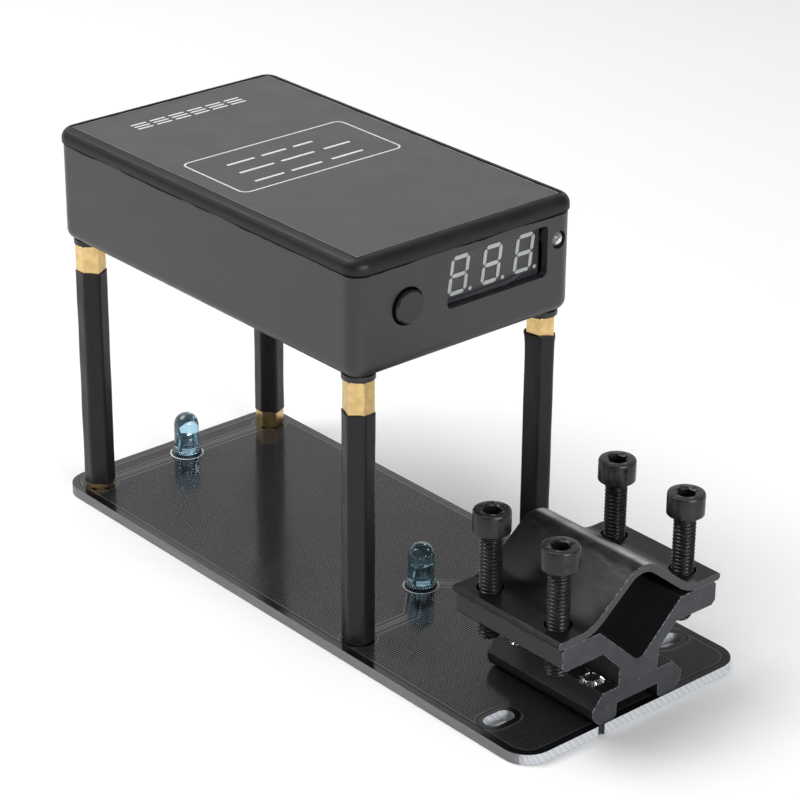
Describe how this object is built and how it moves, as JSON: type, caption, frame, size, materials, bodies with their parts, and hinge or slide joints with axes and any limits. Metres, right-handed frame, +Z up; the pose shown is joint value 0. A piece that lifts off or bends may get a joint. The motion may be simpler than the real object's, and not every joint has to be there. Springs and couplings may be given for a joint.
{
  "type": "projectile speed tester",
  "caption": "Two-gate optical speed tester: black reading unit on hex posts over a base board with emitters, and a V clamp that holds the barrel in front of the gates.",
  "frame": {"origin": "middle of the base board's underside", "axes": "+X across the board to the right as seen from the clamp end, +Y along the flight from the clamp to the rear posts, +Z up"},
  "size_m": [0.0518, 0.1324, 0.0756],
  "materials": {
    "solder_mask": "black solder mask over hatched copper, glossy, pale glass-fibre edges",
    "zinc_steel": "zinc plated screw steel",
    "brass": "bare milled brass",
    "shrink_sleeve": "satin black shrink tube",
    "nylon": "black nylon",
    "tinned_wire": "tinned copper",
    "clear_lens": "water-clear epoxy with a faint blue tint",
    "case_plastic": "dark grey-black moulded ABS, fine satin",
    "lid_plastic": "dark grey-black moulded ABS, fine satin",
    "label_film": "dark grey printed film with a plain white outline",
    "green_board": "green solder mask",
    "black_moulding": "black moulded plastic",
    "display_face": "dark grey display face",
    "segment_plastic": "pale grey unlit segments",
    "button_plastic": "black moulded button",
    "dark_lens": "dark epoxy light receiver",
    "chip_epoxy": "black epoxy package",
    "foil": "pouch cell foil",
    "foam": "white foam tape",
    "socket_steel": "plated socket shell",
    "anodised_block": "black finished extrusion with worn bright edges",
    "blackened_plate": "blackened folded steel with rubbed folds",
    "black_oxide": "black oxide screw steel"
  },
  "bodies": {
    "frame": {"base_board": "solder_mask", "base_screws": "zinc_steel", "rail_screws": "zinc_steel", "standoff_rear_left": "brass", "standoff_rear_right": "brass", "standoff_front_left": "brass", "standoff_front_right": "brass", "sleeve_rear_left": "shrink_sleeve", "sleeve_rear_right": "shrink_sleeve", "sleeve_front_left": "shrink_sleeve", "sleeve_front_right": "shrink_sleeve", "standoff_washers": "nylon", "thread_inserts": "brass", "contact_wires": "tinned_wire", "gate_led_rear": "clear_lens", "gate_led_front": "clear_lens", "gate_led_leads": "tinned_wire", "case_body": "case_plastic", "case_lid": "lid_plastic", "label_panel": "label_film", "main_board": "green_board", "board_screws": "zinc_steel", "front_board": "green_board", "board_header": "black_moulding", "display_module": "display_face", "display_segments": "segment_plastic", "indicator_led": "clear_lens", "tact_switch": "black_moulding", "receiver_rear": "dark_lens", "receiver_front": "dark_lens", "controller_chip": "chip_epoxy", "charger_chip": "chip_epoxy", "battery_cell": "foil", "battery_pad": "foam", "charge_socket": "socket_steel", "clamp_block": "anodised_block"},
    "button": {"button_cap": "button_plastic", "switch_plunger": "black_moulding"},
    "plate": {"clamp_plate": "blackened_plate"},
    "screw_rear_left": {"clamp_screw_rear_left": "black_oxide"},
    "screw_rear_right": {"clamp_screw_rear_right": "black_oxide"},
    "screw_front_left": {"clamp_screw_front_left": "black_oxide"},
    "screw_front_right": {"clamp_screw_front_right": "black_oxide"}
  },
  "joints": [
    {"name": "button_press", "type": "slide", "parent": "frame", "child": "button", "axis": [0, 1, 0], "range_m": [0, 0.0005], "stiffness_N_per_m": 3000, "springref_m": -0.0003},
    {"name": "plate_lift", "type": "slide", "parent": "frame", "child": "plate", "axis": [0, 0, 1], "range_m": [0, 0.0052]},
    {"name": "screw_travel_rear_left", "type": "slide", "parent": "frame", "child": "screw_rear_left", "axis": [0, 0, 1], "range_m": [-0.0052, 0.006]},
    {"name": "screw_travel_rear_right", "type": "slide", "parent": "frame", "child": "screw_rear_right", "axis": [0, 0, 1], "range_m": [-0.0052, 0.006]},
    {"name": "screw_travel_front_left", "type": "slide", "parent": "frame", "child": "screw_front_left", "axis": [0, 0, 1], "range_m": [-0.0052, 0.006]},
    {"name": "screw_travel_front_right", "type": "slide", "parent": "frame", "child": "screw_front_right", "axis": [0, 0, 1], "range_m": [-0.0052, 0.006]}
  ]
}
